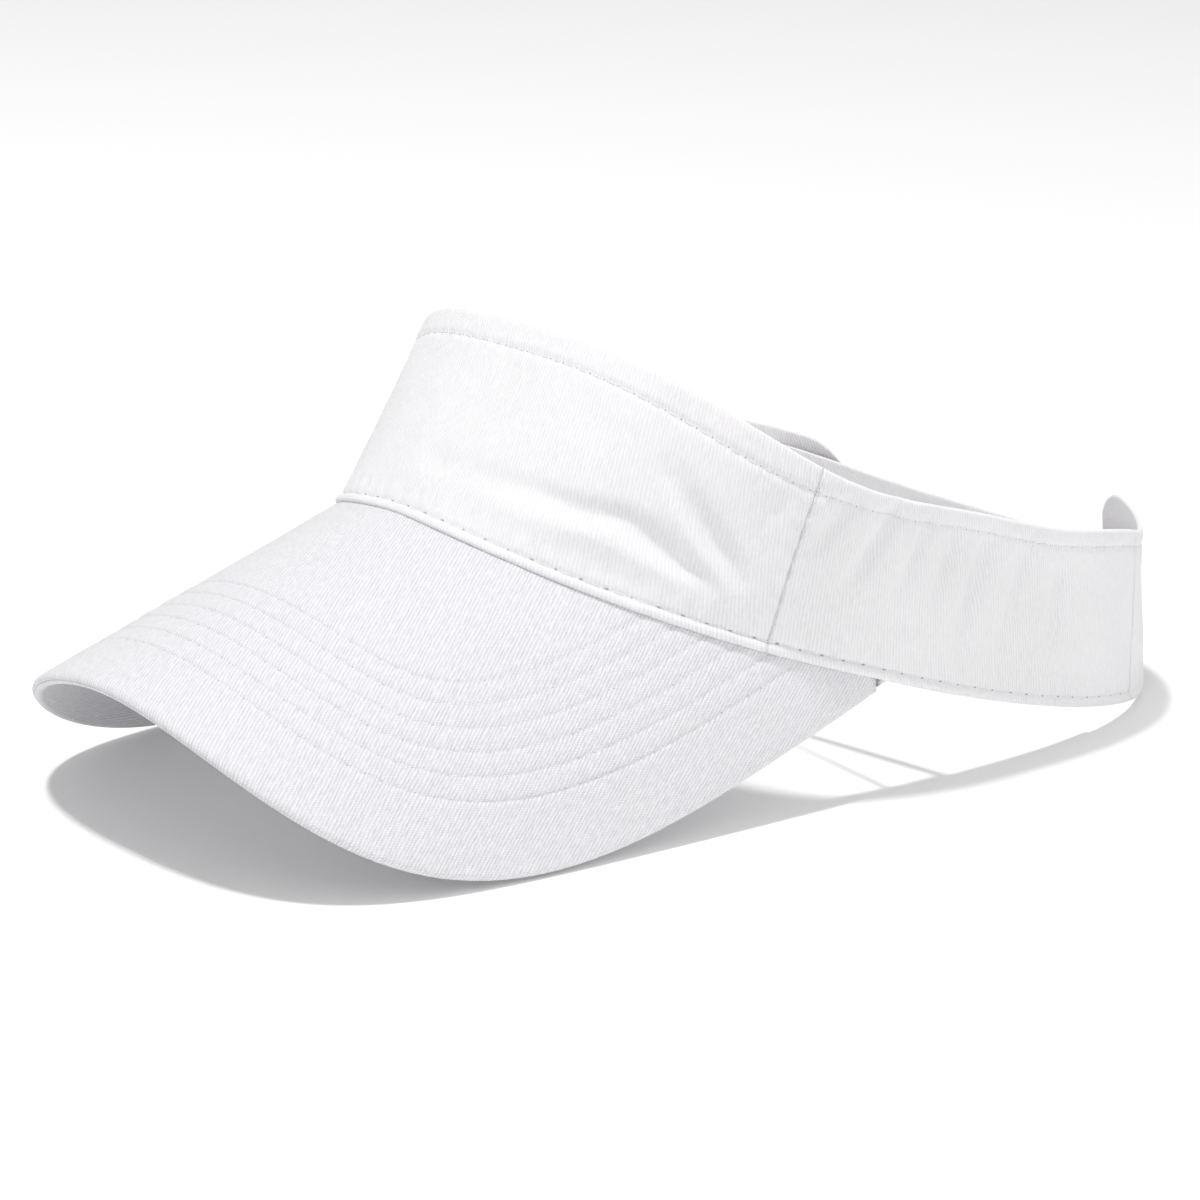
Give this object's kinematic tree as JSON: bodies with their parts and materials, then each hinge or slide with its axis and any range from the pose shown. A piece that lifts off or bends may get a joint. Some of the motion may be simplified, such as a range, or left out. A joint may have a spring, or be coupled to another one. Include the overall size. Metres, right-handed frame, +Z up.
{
  "type": "sun visor",
  "caption": "Open-top cotton twill sun visor with an arched, row-stitched brim, a soft head band and a hook-and-loop closure at the rear.",
  "frame": {"origin": "on the ground under the middle of the visor's bounding box, as it lies on a table", "axes": "-Y to the brim's front edge, +Y to the closure at the rear, +X to the wearer's left, +Z up from the table"},
  "size_m": [0.1454, 0.2627, 0.0959],
  "materials": {
    "twill": "white cotton twill with a fine diagonal weave",
    "lining": "white plain-weave cotton",
    "thread": "white polyester sewing thread",
    "board": "white flexible plastic sheet",
    "interfacing": "white stiffened non-woven",
    "hook_tape": "white nylon hook tape",
    "loop_tape": "white nylon loop tape"
  },
  "bodies": {
    "root": {"brim_top_cover": "twill", "brim_under_cover": "twill", "front_panel": "twill", "left_side_band": "twill", "right_side_band": "twill", "brim_board": "board", "front_interfacing": "interfacing", "sweatband": "lining", "rear_strap": "lining", "loop_strip": "loop_tape", "brim_stitch_row_1": "thread", "brim_stitch_row_2": "thread", "brim_stitch_row_3": "thread", "brim_stitch_row_4": "thread", "brim_stitch_row_5": "thread", "brim_stitch_row_6": "thread", "top_hem_stitching": "thread", "lower_hem_stitching": "thread", "left_seam_stitching": "thread", "right_seam_stitching": "thread", "loop_strip_stitching": "thread"},
    "band_end": {"left_band_rear": "twill"},
    "tab": {"closure_tab": "twill", "hook_patch": "hook_tape", "tab_stitching": "thread"}
  },
  "joints": [
    {"name": "strap_adjust", "type": "hinge", "parent": "root", "child": "band_end", "pos_m": [0.01397, 0.07829, 0.02006], "axis": [0.2028, -0.2064, 0.9572], "range_deg": [0, 13]},
    {"name": "tab_peel", "type": "hinge", "parent": "band_end", "child": "tab", "pos_m": [0.05437, 0.1111, 0.02113], "axis": [-0.1082, 0.1662, -0.9801], "range_deg": [0, 110]}
  ]
}
